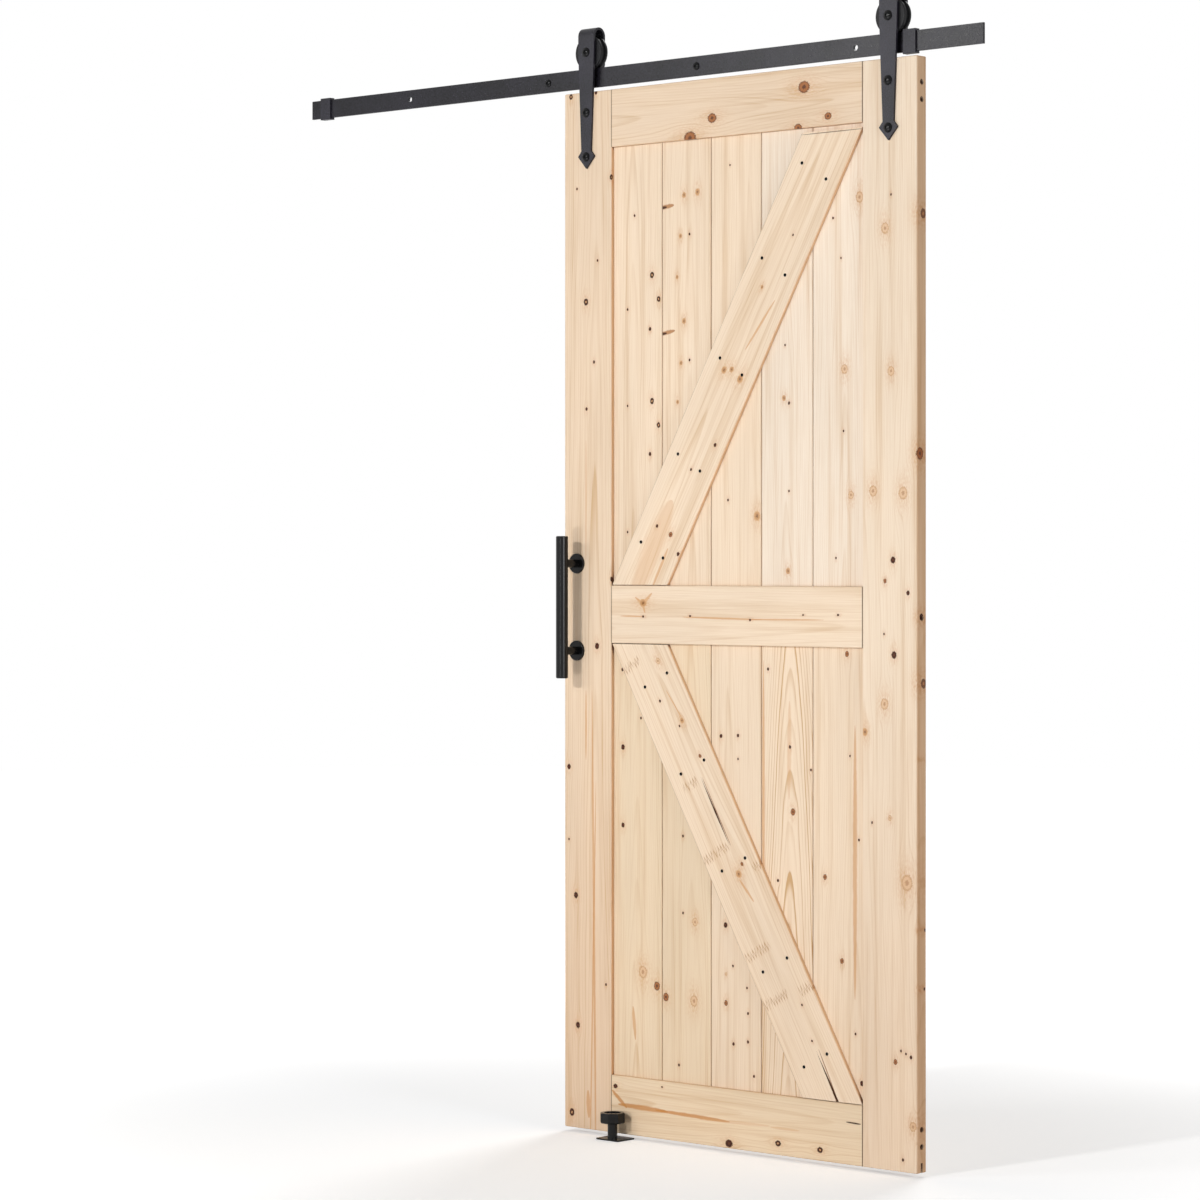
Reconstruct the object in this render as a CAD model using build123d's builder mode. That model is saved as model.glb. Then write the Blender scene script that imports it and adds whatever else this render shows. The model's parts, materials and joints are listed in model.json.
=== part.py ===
from build123d import *
import math
import os

# A sliding barn door on a flat wall track, in millimetres.
# +X runs along the track to the right, +Y points into the wall and +Z is up.
# The origin is on the wall plane, behind the right fixing bolt of the track, at the track's mid height.

# Door leaf
door_width = 914.4
door_height = 2133.6
door_thickness = 32.0
stile_width = 131.0
top_rail_height = 118.0
middle_rail_height = 118.0
bottom_rail_height = 118.0
middle_rail_centre_height = 1060.0
arris_radius = 5.0
end_arris_radius = 2.5
inner_arris_chamfer = 1.2
door_right_edge_x = 562.0
door_top_gap = 9.0
floor_gap = 8.5

# Panels of tongue and groove planks
plank_count = 5
panel_recess = 8.5
panel_groove_depth = 12.0
plank_joint_gap = 1.2
plank_chamfer = 1.6
plank_tongue_thickness = 5.0
plank_tongue_length = 6.0
plank_end_clearance = 1.5
seat_clearance = 0.15

# Diagonal braces on the front of the panels
brace_width = 130.0
brace_thickness = 8.5
brace_chamfer = 1.8
brace_corner_gap = 1.5
upper_brace_top_gap = 9.0

# Cracks in the lower brace, along the glue line of its two strips
crack_offset = 13.0
crack_depth = 6.0
long_crack_height = 118.0
long_crack_length = 154.0
long_crack_width = 4.0
foot_crack_length = 101.0
foot_crack_width = 6.0

# Bolt holes in the outer edges of the stiles, and the groove under the door
edge_hole_diameter = 11.0
edge_hole_depth = 30.0
edge_hole_end_distance = 50.0
edge_hole_spacing = 33.0
guide_groove_width = 6.0
guide_groove_depth = 19.0

# Track on the wall
wall_y = 0.0
rail_length = 1828.8
rail_height = 40.0
rail_thickness = 6.0
rail_hole_diameter = 11.0
rail_hole_count = 4
rail_hole_spacing = 406.4
rail_chamfer = 0.6
spacer_length = 32.0
spacer_diameter = 22.0
spacer_bore_diameter = 10.4
rail_bolt_diameter = 10.0
rail_bolt_head_diameter = 16.0
rail_bolt_head_height = 4.0
rail_bolt_socket_width = 5.0

# Stops clipped round the track
stop_length = 30.0
stop_thickness = 3.5
stop_lip = 12.0
stop_clearance = 0.15
stop_wheel_clearance = 5.7
left_stop_margin = 30.0

# Hangers: grooved wheels, J-shaped straps and their bolts
wheel_diameter = 72.0
wheel_width = 22.0
wheel_groove_depth = 4.0
wheel_groove_width = 8.0
wheel_groove_flare = 1.5
wheel_lip_radius = 2.5
wheel_hub_diameter = 26.0
wheel_hub_height = 1.2
wheel_side_clearance = 1.5
rolling_clearance = 0.3
axle_diameter = 10.0
axle_running_clearance = 0.05
strap_width = 43.0
strap_thickness = 5.0
strap_crown_clearance = 10.0
strap_back_leg_drop = 35.0
strap_back_leg_corner = 12.0
strap_neck_width = 26.0
strap_neck_drop = 122.0
strap_arrow_width = 44.0
strap_arrow_drop = 133.0
strap_tip_drop = 158.0
door_bolt_diameter = 8.0
upper_bolt_drop = 43.0
lower_bolt_drop = 134.0
bolt_clearance = 0.15
bolt_head_diameter = 19.5
bolt_head_height = 5.0
bolt_head_rim = 1.2
bolt_socket_width = 6.5
bolt_socket_depth = 2.4
nut_width = 15.0
nut_height = 6.0
bolt_end_length = 2.0

# Pull handle on the left stile
handle_length = 292.0
handle_diameter = 25.0
handle_end_chamfer = 1.5
handle_standoff = 46.4
handle_edge_distance = 36.7
handle_centre_height = 1074.0
handle_post_spacing = 179.5
handle_post_diameter = 17.0
handle_post_seat_depth = 8.0
handle_rose_diameter = 41.0
handle_rose_thickness = 4.5
handle_rose_fillet = 1.5

# Floor guide in front of the door
guide_edge_distance = 161.0
guide_door_clearance = 5.0
guide_plate_width = 61.0
guide_plate_depth = 52.0
guide_plate_front_reach = 47.0
guide_plate_thickness = 3.0
guide_plate_corner = 3.0
guide_post_diameter = 20.0
guide_head_sides = 8
guide_head_width = 49.0
guide_head_height = 21.0
guide_head_floor_height = 34.5
guide_head_chamfer = 2.0
guide_head_recess_diameter = 34.0
guide_head_recess_depth = 3.0

# Depths, from the wall towards the front
rail_back_y = wall_y - spacer_length
rail_mid_y = rail_back_y - rail_thickness / 2
rail_front_y = rail_back_y - rail_thickness
strap_inner_radius = wheel_width / 2 + wheel_side_clearance
strap_outer_radius = strap_inner_radius + strap_thickness
door_front_y = rail_mid_y - strap_inner_radius
door_mid_y = door_front_y + door_thickness / 2
door_back_y = door_front_y + door_thickness
strap_front_y = rail_mid_y - strap_outer_radius
strap_rear_y = rail_mid_y + strap_outer_radius
plank_thickness = door_thickness - 2 * panel_recess
plank_front_y = door_front_y + panel_recess
panel_groove_width = plank_thickness + 2 * seat_clearance

# Heights
axle_z = rail_height / 2 + wheel_diameter / 2 - wheel_groove_depth + rolling_clearance
door_top_z = -rail_height / 2 - door_top_gap
door_bottom_z = door_top_z - door_height
door_mid_z = (door_top_z + door_bottom_z) / 2
floor_z = door_bottom_z - floor_gap
middle_rail_z = door_bottom_z + middle_rail_centre_height
upper_panel_bottom_z = middle_rail_z + middle_rail_height / 2
upper_panel_top_z = door_top_z - top_rail_height
lower_panel_bottom_z = door_bottom_z + bottom_rail_height
lower_panel_top_z = middle_rail_z - middle_rail_height / 2

# Places along the track
door_left_edge_x = door_right_edge_x - door_width
door_mid_x = (door_left_edge_x + door_right_edge_x) / 2
panel_left_x = door_left_edge_x + stile_width
panel_right_x = door_right_edge_x - stile_width
panel_width = panel_right_x - panel_left_x
hanger_x = {
    "left": door_left_edge_x + stile_width / 2,
    "right": door_right_edge_x - stile_width / 2,
}
rail_mid_x = -rail_hole_spacing / 2
rail_left_x = rail_mid_x - rail_length / 2
fixing_x = {"left": -rail_hole_spacing, "right": 0.0}

os.makedirs("parts", exist_ok=True)


def save(builder, node):
    """Label a finished piece and write it to its own file."""
    builder.part.label = node
    export_step(builder.part, f"parts/{node}.step")


def facing_front(x, y, z):
    """A plane at a point whose normal points out of the wall, with X to the right and Z up."""
    return Plane(origin=(x, y, z), x_dir=(1, 0, 0), z_dir=(0, -1, 0))


def turned_on(x, y, z):
    """A plane for half profiles that turn about the depth axis: local x is the radius, local y is depth."""
    return Plane(origin=(x, y, z), x_dir=(1, 0, 0), z_dir=(0, 0, 1))


def depth_axis(x, z):
    """The axis through a point of the front view, along the depth of the door."""
    return Axis((x, 0, z), (0, 1, 0))


# Stiles: full-height uprights, grooved for the planks, bored for the frame bolts and slotted underneath
edge_hole_heights = [
    door_top_z - edge_hole_end_distance,
    door_top_z - edge_hole_end_distance - edge_hole_spacing,
    middle_rail_z,
    door_bottom_z + edge_hole_end_distance + edge_hole_spacing,
    door_bottom_z + edge_hole_end_distance,
]


def make_stile(node, outer_x, inward):
    """Build one stile, where inward is 1 if the panels lie to its right and -1 if to its left."""
    inner_x = outer_x + inward * stile_width
    with BuildPart() as stile:
        with BuildSketch(Plane.XY.offset(door_bottom_z)):
            with Locations((outer_x + inward * stile_width / 2, door_mid_y)):
                Rectangle(stile_width, door_thickness)
        extrude(amount=door_height)
        outward_order = Axis((0, 0, 0), (-inward, 0, 0))
        fillet(stile.edges().filter_by(Axis.Z).group_by(outward_order)[-1], arris_radius)
        chamfer(stile.edges().filter_by(Axis.Z).group_by(outward_order)[0], inner_arris_chamfer)
        end_faces = stile.faces().filter_by(Axis.Z)
        fillet(end_faces.edges().sort_by(outward_order)[2:], end_arris_radius)
        with Locations((inner_x - inward * panel_groove_depth / 2, door_mid_y, door_mid_z)):
            Box(panel_groove_depth, panel_groove_width, door_height, mode=Mode.SUBTRACT)
        with Locations((outer_x + inward * stile_width / 2, door_mid_y, door_bottom_z)):
            Box(stile_width, guide_groove_width, 2 * guide_groove_depth, mode=Mode.SUBTRACT)
        for height in edge_hole_heights:
            with Locations(Plane(origin=(outer_x, door_mid_y, height), z_dir=(-inward, 0, 0))):
                Hole(edge_hole_diameter / 2, edge_hole_depth)
        for drop in (upper_bolt_drop, lower_bolt_drop):
            bolt_x = outer_x + inward * stile_width / 2
            with Locations(facing_front(bolt_x, door_front_y, door_top_z - drop)):
                Hole(door_bolt_diameter / 2 + bolt_clearance)
    save(stile, node)


make_stile("left_stile", door_left_edge_x, 1)
make_stile("right_stile", door_right_edge_x, -1)


# Rails: between the stiles, with stub tenons in the stiles' grooves and grooves of their own for the planks
tenon_length = panel_groove_depth - seat_clearance


def make_rail(node, bottom_z, height, groove_heights, outer_face):
    """Build one rail, grooved at the given heights, with its outer edge, if any, rounded like the stiles' ends."""
    centre = (door_mid_y, bottom_z + height / 2)
    with BuildPart() as rail:
        with BuildSketch(Plane.YZ.offset(panel_left_x)):
            with Locations(centre):
                Rectangle(door_thickness, height)
        extrude(amount=panel_width)
        long_edges = rail.edges().filter_by(Axis.X).group_by(Axis.Z)
        if outer_face == "top":
            fillet(long_edges[-1], end_arris_radius)
            chamfer(rail.edges().filter_by(Axis.X).group_by(Axis.Z)[0], inner_arris_chamfer)
        elif outer_face == "bottom":
            fillet(long_edges[0], end_arris_radius)
            chamfer(rail.edges().filter_by(Axis.X).group_by(Axis.Z)[-1], inner_arris_chamfer)
        else:
            chamfer(long_edges[0] + long_edges[-1], inner_arris_chamfer)
        with BuildSketch(Plane.YZ.offset(panel_left_x - tenon_length)):
            with Locations(centre):
                Rectangle(plank_thickness, height)
        extrude(amount=panel_width + 2 * tenon_length)
        for groove_z in groove_heights:
            with Locations((door_mid_x, door_mid_y, groove_z)):
                Box(door_width, panel_groove_width, 2 * panel_groove_depth, mode=Mode.SUBTRACT)
        if outer_face == "bottom":
            with Locations((door_mid_x, door_mid_y, door_bottom_z)):
                Box(door_width, guide_groove_width, 2 * guide_groove_depth, mode=Mode.SUBTRACT)
    save(rail, node)


make_rail("top_rail", upper_panel_top_z, top_rail_height, [upper_panel_top_z], "top")
make_rail("middle_rail", lower_panel_top_z, middle_rail_height, [lower_panel_top_z, upper_panel_bottom_z], None)
make_rail("bottom_rail", door_bottom_z, bottom_rail_height, [lower_panel_bottom_z], "bottom")


# Planks: upright boards, tongued into each other and let into the grooves of the frame
plank_pitch = panel_width / plank_count
plank_groove_depth = plank_tongue_length
plank_edge_reach = panel_groove_depth - seat_clearance


def make_plank(node, index, panel_bottom_z, panel_top_z):
    """Build one plank, counted from the left of its panel."""
    first = index == 0
    last = index == plank_count - 1
    left_x = panel_left_x + index * plank_pitch + plank_joint_gap / 2
    right_x = panel_left_x + (index + 1) * plank_pitch - plank_joint_gap / 2
    if first:
        left_x = panel_left_x - plank_edge_reach
    if last:
        right_x = panel_right_x + plank_edge_reach
    bottom_z = panel_bottom_z - panel_groove_depth
    top_z = panel_top_z + panel_groove_depth - plank_end_clearance
    with BuildPart() as plank:
        with BuildSketch(Plane.XY.offset(bottom_z)) as section:
            with Locations(((left_x + right_x) / 2, door_mid_y)):
                Rectangle(right_x - left_x, plank_thickness)
            chamfer(section.vertices(), plank_chamfer)
            if not last:
                with Locations((right_x, door_mid_y)):
                    Rectangle(2 * plank_tongue_length, plank_tongue_thickness)
            if not first:
                groove_thickness = plank_tongue_thickness + 2 * seat_clearance
                with Locations((left_x, door_mid_y)):
                    Rectangle(2 * plank_groove_depth, groove_thickness, mode=Mode.SUBTRACT)
        extrude(amount=top_z - bottom_z)
    save(plank, node)


for number in range(plank_count):
    make_plank(f"upper_plank_{number + 1}", number, upper_panel_bottom_z, upper_panel_top_z)
    make_plank(f"lower_plank_{number + 1}", number, lower_panel_bottom_z, lower_panel_top_z)


# Braces: corner to corner of each panel, cut level at both ends and laid on the planks
def brace_end_width(width, run, rise):
    """The level width of a brace's cut end, for a brace of this width that fills this run and rise."""
    diagonal = math.sqrt(run**2 + rise**2 - width**2)
    return (width * rise * diagonal - width**2 * run) / (rise**2 - width**2)


def make_brace(node, bottom_z, top_z, lean, cracked=False):
    """Build one brace, where lean is 1 if its top is at the right and -1 if at the left."""
    half_run = panel_width / 2 - brace_corner_gap
    end_width = brace_end_width(brace_width, 2 * half_run, top_z - bottom_z)
    with BuildPart() as brace:
        with BuildSketch(facing_front(door_mid_x, plank_front_y, 0)):
            with BuildLine():
                Polyline(
                    (-lean * half_run, bottom_z),
                    (-lean * (half_run - end_width), bottom_z),
                    (lean * half_run, top_z),
                    (lean * (half_run - end_width), top_z),
                    close=True,
                )
            make_face()
        extrude(amount=brace_thickness)
        front_edges = brace.faces().sort_by(Axis.Y)[0].edges()
        chamfer(front_edges - front_edges.filter_by(Axis.X), brace_chamfer)
        if cracked:
            run = 2 * half_run - end_width
            rise = top_z - bottom_z
            foot_crack_top = foot_crack_length - math.hypot(run, rise) / 2
            along_brace = Plane(
                origin=(door_mid_x, plank_front_y - brace_thickness, (bottom_z + top_z) / 2),
                x_dir=(lean * run, 0, rise),
                z_dir=(0, -1, 0),
            )
            with BuildSketch(along_brace):
                with BuildLine():
                    Polyline(
                        (long_crack_height + long_crack_length / 2, -crack_offset),
                        (long_crack_height, -crack_offset + long_crack_width / 2),
                        (long_crack_height - long_crack_length / 2, -crack_offset),
                        (long_crack_height, -crack_offset - long_crack_width / 2),
                        close=True,
                    )
                make_face()
                # The foot's wedge is drawn twice as long and wide, so that it runs out of the foot
                with BuildLine():
                    Polyline(
                        (foot_crack_top, -crack_offset),
                        (foot_crack_top - 2 * foot_crack_length, -crack_offset + foot_crack_width),
                        (foot_crack_top - 2 * foot_crack_length, -crack_offset - foot_crack_width),
                        close=True,
                    )
                make_face()
            extrude(amount=-crack_depth, mode=Mode.SUBTRACT)
    save(brace, node)


make_brace("upper_brace", upper_panel_bottom_z + brace_corner_gap, upper_panel_top_z - upper_brace_top_gap, 1)
make_brace("lower_brace", lower_panel_bottom_z + brace_corner_gap, lower_panel_top_z - brace_corner_gap, -1, cracked=True)


# Hanger straps: a flat bar bent over the wheel, its front leg tapered to an arrowhead on the door
bend_z = axle_z + wheel_diameter / 2 + strap_crown_clearance - strap_inner_radius
back_leg_end_z = axle_z - strap_back_leg_drop


def make_strap(node, centre_x):
    """Build one J-shaped strap on its stile."""
    with BuildPart() as strap:
        with BuildSketch(facing_front(centre_x, door_front_y, 0)):
            with BuildLine():
                Polyline(
                    (0, door_top_z - strap_tip_drop),
                    (strap_arrow_width / 2, door_top_z - strap_arrow_drop),
                    (strap_neck_width / 2, door_top_z - strap_neck_drop),
                    (strap_width / 2, axle_z),
                    (strap_width / 2, bend_z),
                    (0, bend_z),
                )
                mirror(about=Plane.YZ)
            make_face()
        extrude(amount=strap_thickness)
        with BuildSketch(Plane.YZ.offset(centre_x - strap_width / 2)):
            with Locations((rail_mid_y, bend_z)):
                Circle(strap_outer_radius)
                Circle(strap_inner_radius, mode=Mode.SUBTRACT)
            with Locations((rail_mid_y, bend_z - strap_outer_radius)):
                Rectangle(2 * strap_outer_radius, 2 * strap_outer_radius, mode=Mode.SUBTRACT)
            with Locations((strap_rear_y - strap_thickness / 2, (bend_z + back_leg_end_z) / 2)):
                Rectangle(strap_thickness, bend_z - back_leg_end_z)
        extrude(amount=strap_width)
        back_leg_end = strap.faces().filter_by(Axis.Z).sort_by(Axis.Y)[-1]
        fillet(back_leg_end.edges().filter_by(Axis.Y), strap_back_leg_corner)
        with Locations(facing_front(centre_x, strap_front_y, axle_z)):
            Hole(axle_diameter / 2 + bolt_clearance)
        for drop in (upper_bolt_drop, lower_bolt_drop):
            with Locations(facing_front(centre_x, strap_front_y, door_top_z - drop)):
                Hole(door_bolt_diameter / 2 + bolt_clearance)
    save(strap, node)


# Bolts: a domed head with a hexagon socket, a plain shank and, where there is one, a hexagon nut behind
def make_bolt(node, x, z, seat_y, shank_diameter, head_diameter, head_height, socket_width, end_y, nut_seat_y=None):
    """Build one bolt whose head sits on a surface at depth seat_y and whose shank ends at depth end_y."""
    head_radius = head_diameter / 2
    dome_height = head_height - bolt_head_rim
    dome_radius = (head_radius**2 + dome_height**2) / (2 * dome_height)
    half_angle = math.asin(head_radius / dome_radius) / 2
    rim_y = seat_y - bolt_head_rim
    top_y = seat_y - head_height
    dome_middle = (dome_radius * math.sin(half_angle), top_y + dome_radius * (1 - math.cos(half_angle)))
    with BuildPart() as bolt:
        with BuildSketch(turned_on(x, 0, z)):
            with BuildLine():
                Polyline(
                    (0, top_y),
                    (0, end_y),
                    (shank_diameter / 2, end_y),
                    (shank_diameter / 2, seat_y),
                    (head_radius, seat_y),
                    (head_radius, rim_y),
                )
                ThreePointArc((head_radius, rim_y), dome_middle, (0, top_y))
            make_face()
        revolve(axis=depth_axis(x, z))
        with BuildSketch(facing_front(x, top_y, z)):
            RegularPolygon(socket_width / 2, 6, major_radius=False)
        extrude(amount=-bolt_socket_depth, mode=Mode.SUBTRACT)
        if nut_seat_y is not None:
            with BuildSketch(facing_front(x, nut_seat_y + nut_height, z)):
                RegularPolygon(nut_width / 2, 6, major_radius=False)
            extrude(amount=nut_height)
    save(bolt, node)


# Wheels: grooved to run on the track's upper edge, free on their axle bolts
def make_wheel(node, centre_x):
    """Build one grooved wheel."""
    bore_radius = axle_diameter / 2 + axle_running_clearance
    hub_radius = wheel_hub_diameter / 2
    rim_radius = wheel_diameter / 2
    tread_radius = rim_radius - wheel_groove_depth
    half_width = wheel_width / 2
    half_hub = half_width + wheel_hub_height
    half_tread = wheel_groove_width / 2
    half_mouth = half_tread + wheel_groove_flare
    with BuildPart() as wheel:
        with BuildSketch(turned_on(centre_x, rail_mid_y, axle_z)):
            with BuildLine():
                Polyline(
                    (bore_radius, 0),
                    (bore_radius, half_hub),
                    (hub_radius, half_hub),
                    (hub_radius, half_width),
                    (rim_radius - wheel_lip_radius, half_width),
                )
                RadiusArc(
                    (rim_radius - wheel_lip_radius, half_width),
                    (rim_radius, half_width - wheel_lip_radius),
                    wheel_lip_radius,
                )
                Polyline(
                    (rim_radius, half_width - wheel_lip_radius),
                    (rim_radius, half_mouth),
                    (tread_radius, half_tread),
                    (tread_radius, 0),
                    (bore_radius, 0),
                )
            make_face()
            mirror(about=Plane.XZ)
        revolve(axis=depth_axis(centre_x, axle_z))
    save(wheel, node)


for side, centre_x in hanger_x.items():
    make_strap(f"{side}_hanger_strap", centre_x)
    make_wheel(f"{side}_wheel", centre_x)
    make_bolt(
        f"{side}_axle_bolt",
        centre_x,
        axle_z,
        strap_front_y,
        axle_diameter,
        bolt_head_diameter,
        bolt_head_height,
        bolt_socket_width,
        strap_rear_y + nut_height + bolt_end_length,
        nut_seat_y=strap_rear_y,
    )
    for place, drop in {"upper": upper_bolt_drop, "lower": lower_bolt_drop}.items():
        make_bolt(
            f"{side}_{place}_bolt",
            centre_x,
            door_top_z - drop,
            strap_front_y,
            door_bolt_diameter,
            bolt_head_diameter,
            bolt_head_height,
            bolt_socket_width,
            door_back_y + nut_height + bolt_end_length,
            nut_seat_y=door_back_y,
        )


# Track: a flat bar on edge, drilled in a row, held off the wall by a spacer at each fixing bolt
with BuildPart() as track_rail:
    with BuildSketch(facing_front(rail_mid_x, rail_back_y, 0)):
        Rectangle(rail_length, rail_height)
    extrude(amount=rail_thickness)
    chamfer(track_rail.edges().filter_by(Axis.X), rail_chamfer)
    with Locations(facing_front(rail_mid_x, rail_front_y, 0)):
        with GridLocations(rail_hole_spacing, 1, rail_hole_count, 1):
            Hole(rail_hole_diameter / 2)
save(track_rail, "track_rail")

for side, centre_x in fixing_x.items():
    with BuildPart() as spacer:
        with BuildSketch(facing_front(centre_x, wall_y, 0)):
            Circle(spacer_diameter / 2)
            Circle(spacer_bore_diameter / 2, mode=Mode.SUBTRACT)
        extrude(amount=spacer_length)
    save(spacer, f"{side}_rail_spacer")
    make_bolt(
        f"{side}_rail_bolt",
        centre_x,
        0,
        rail_front_y,
        rail_bolt_diameter,
        rail_bolt_head_diameter,
        rail_bolt_head_height,
        rail_bolt_socket_width,
        wall_y,
    )


# Stops: folded clips that wrap the track's front and edges, with a lip behind at top and bottom
stop_half_height = rail_height / 2 + stop_clearance + stop_thickness
stop_half_depth = rail_thickness / 2 + stop_clearance + stop_thickness
wheel_chord = math.sqrt((wheel_diameter / 2) ** 2 - (axle_z - stop_half_height) ** 2)
stop_x = {
    "left": rail_left_x + left_stop_margin,
    "right": hanger_x["right"] + wheel_chord + stop_wheel_clearance,
}

for side, start_x in stop_x.items():
    with BuildPart() as stop:
        with BuildSketch(Plane.YZ.offset(start_x)):
            with Locations((rail_mid_y, 0)):
                Rectangle(2 * stop_half_depth, 2 * stop_half_height)
                Rectangle(
                    2 * (stop_half_depth - stop_thickness),
                    2 * (stop_half_height - stop_thickness),
                    mode=Mode.SUBTRACT,
                )
            with Locations((rail_mid_y + stop_half_depth, 0)):
                Rectangle(2 * stop_thickness, 2 * (stop_half_height - stop_lip), mode=Mode.SUBTRACT)
        extrude(amount=stop_length)
    save(stop, f"{side}_rail_stop")


# Pull handle: a round bar on two posts, each with a rose against the stile
handle_x = door_left_edge_x + handle_edge_distance
handle_y = door_front_y - handle_standoff
handle_z = door_bottom_z + handle_centre_height
post_end_y = handle_y + handle_diameter / 2 - handle_post_seat_depth
post_z = {
    "upper": handle_z + handle_post_spacing / 2,
    "lower": handle_z - handle_post_spacing / 2,
}

with BuildPart() as pull_bar:
    with BuildSketch(Plane((handle_x, handle_y, handle_z - handle_length / 2))):
        Circle(handle_diameter / 2)
    extrude(amount=handle_length)
    chamfer(pull_bar.edges().filter_by(GeomType.CIRCLE), handle_end_chamfer)
    for height in post_z.values():
        with BuildSketch(facing_front(handle_x, door_front_y, height)):
            Circle(handle_post_diameter / 2 + seat_clearance)
        extrude(amount=door_front_y - post_end_y, mode=Mode.SUBTRACT)
save(pull_bar, "pull_bar")

for place, height in post_z.items():
    with BuildPart() as post:
        with BuildSketch(facing_front(handle_x, door_front_y, height)):
            Circle(handle_rose_diameter / 2)
        extrude(amount=handle_rose_thickness)
        fillet(post.edges().group_by(Axis.Y)[0], handle_rose_fillet)
        with BuildSketch(facing_front(handle_x, door_front_y, height)):
            Circle(handle_post_diameter / 2)
        extrude(amount=door_front_y - post_end_y)
    save(post, f"{place}_handle_post")


# Floor guide: a plate that runs under the door, a post, and an eight-sided head beside the door's face
guide_x = door_left_edge_x + guide_edge_distance
guide_head_y = door_front_y - guide_door_clearance - guide_head_width / 2
guide_plate_y = door_front_y - guide_plate_front_reach + guide_plate_depth / 2
guide_plate_top_z = floor_z + guide_plate_thickness
guide_head_bottom_z = floor_z + guide_head_floor_height

with BuildPart() as guide_plate:
    with BuildSketch(Plane((guide_x, guide_plate_y, floor_z))):
        RectangleRounded(guide_plate_width, guide_plate_depth, guide_plate_corner)
    extrude(amount=guide_plate_thickness)
save(guide_plate, "guide_plate")

with BuildPart() as guide_post:
    with BuildSketch(Plane((guide_x, guide_head_y, guide_plate_top_z))):
        Circle(guide_post_diameter / 2)
    extrude(amount=guide_head_bottom_z - guide_plate_top_z)
save(guide_post, "guide_post")

with BuildPart() as guide_head:
    with BuildSketch(Plane((guide_x, guide_head_y, guide_head_bottom_z))):
        RegularPolygon(guide_head_width / 2, guide_head_sides, False, rotation=180 / guide_head_sides)
    extrude(amount=guide_head_height)
    end_faces = guide_head.faces().filter_by(Axis.Z)
    chamfer(end_faces.edges(), guide_head_chamfer)
    with BuildSketch(Plane((guide_x, guide_head_y, guide_head_bottom_z + guide_head_height))):
        Circle(guide_head_recess_diameter / 2)
    extrude(amount=-guide_head_recess_depth, mode=Mode.SUBTRACT)
save(guide_head, "guide_head")
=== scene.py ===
import json
import math
from collections import namedtuple

import bmesh
import bpy
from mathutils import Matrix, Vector


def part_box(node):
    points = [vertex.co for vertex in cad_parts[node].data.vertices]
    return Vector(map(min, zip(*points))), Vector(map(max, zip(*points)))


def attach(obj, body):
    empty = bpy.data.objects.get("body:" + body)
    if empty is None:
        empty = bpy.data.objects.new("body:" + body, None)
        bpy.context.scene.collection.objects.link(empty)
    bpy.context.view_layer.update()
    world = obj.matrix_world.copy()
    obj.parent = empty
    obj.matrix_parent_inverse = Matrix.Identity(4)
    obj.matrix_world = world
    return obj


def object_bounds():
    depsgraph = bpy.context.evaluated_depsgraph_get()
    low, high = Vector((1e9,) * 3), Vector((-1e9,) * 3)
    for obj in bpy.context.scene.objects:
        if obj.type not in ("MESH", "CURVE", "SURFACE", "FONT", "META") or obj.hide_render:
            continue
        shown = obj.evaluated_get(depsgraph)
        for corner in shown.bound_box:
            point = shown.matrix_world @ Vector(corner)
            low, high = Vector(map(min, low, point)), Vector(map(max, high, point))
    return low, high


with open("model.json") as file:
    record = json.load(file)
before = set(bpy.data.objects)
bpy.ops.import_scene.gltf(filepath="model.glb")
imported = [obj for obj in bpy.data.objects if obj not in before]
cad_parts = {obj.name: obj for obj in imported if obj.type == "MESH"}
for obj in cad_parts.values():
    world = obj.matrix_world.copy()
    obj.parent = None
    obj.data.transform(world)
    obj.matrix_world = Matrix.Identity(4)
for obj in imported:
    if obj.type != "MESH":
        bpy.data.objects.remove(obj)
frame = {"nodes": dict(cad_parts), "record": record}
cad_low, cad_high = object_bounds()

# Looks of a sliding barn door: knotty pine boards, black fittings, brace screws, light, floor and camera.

nodes = frame["nodes"]
UP = Vector((0, 0, 1))
WHITE = (1, 1, 1, 1)
MM = 0.001

Knot = namedtuple("Knot", "x y radius look")
Streak = namedtuple("Streak", "x1 y1 x2 y2 width look")
Finger = namedtuple("Finger", "x1 y1 x2 y2")
Board = namedtuple("Board", "tone contrast spacing pith depth slope")
Coat = namedtuple("Coat", "colour roughness specular mottle_scale bump")
Lay = namedtuple("Lay", "low high along across")

# Camera of the photograph, found from the door's corners: photo pixels and metres
PHOTO_PIXELS = 1200
FOCAL_PIXELS = 3764
PRINCIPAL_X = 600
PRINCIPAL_Y = 561.6
SENSOR_MM = 36
CAMERA_PLACE = Vector((4.931, -5.769, -0.995))
CAMERA_LOOK = Vector((-0.6714, 0.7411, 0)).normalized()

# Light: share of a white surface's brightness that each lamp gives, where it stands and how wide it is
HANDLE_PLACE = Vector((-0.316, -0.094, -1.089))
HIGH_LAMP_ANGLE = 19
LOW_LAMP_ANGLE = -16.3
HIGH_LAMP_DISTANCE = 7.0
LOW_LAMP_DISTANCE = 3.4
HIGH_LAMP_LEVEL = 0.285
LOW_LAMP_LEVEL = 0.17
LAMP_SIZE = 0.45
SIDE_LAMP_PLACE = Vector((5.4, -1.2, -0.6))
SIDE_LAMP_LEVEL = 0.19
SIDE_LAMP_SIZE = 1.5
SHEEN_LAMP_PLACE = Vector((-2.35, -4.2, 0.72))
SHEEN_LAMP_AIM = Vector((0.6, 0, 0))
SHEEN_LAMP_LEVEL = 0.11
SHEEN_LAMP_SIZE = 1.2
STRIP_LAMP_PLACE = Vector((0.55, -5.0, -1.05))
STRIP_LAMP_LEVEL = 0.04
STRIP_LAMP_SIZE = (0.16, 1.8)
BACK_LAMP_PLACE = Vector((-1.5, 4.5, 2.6))
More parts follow.
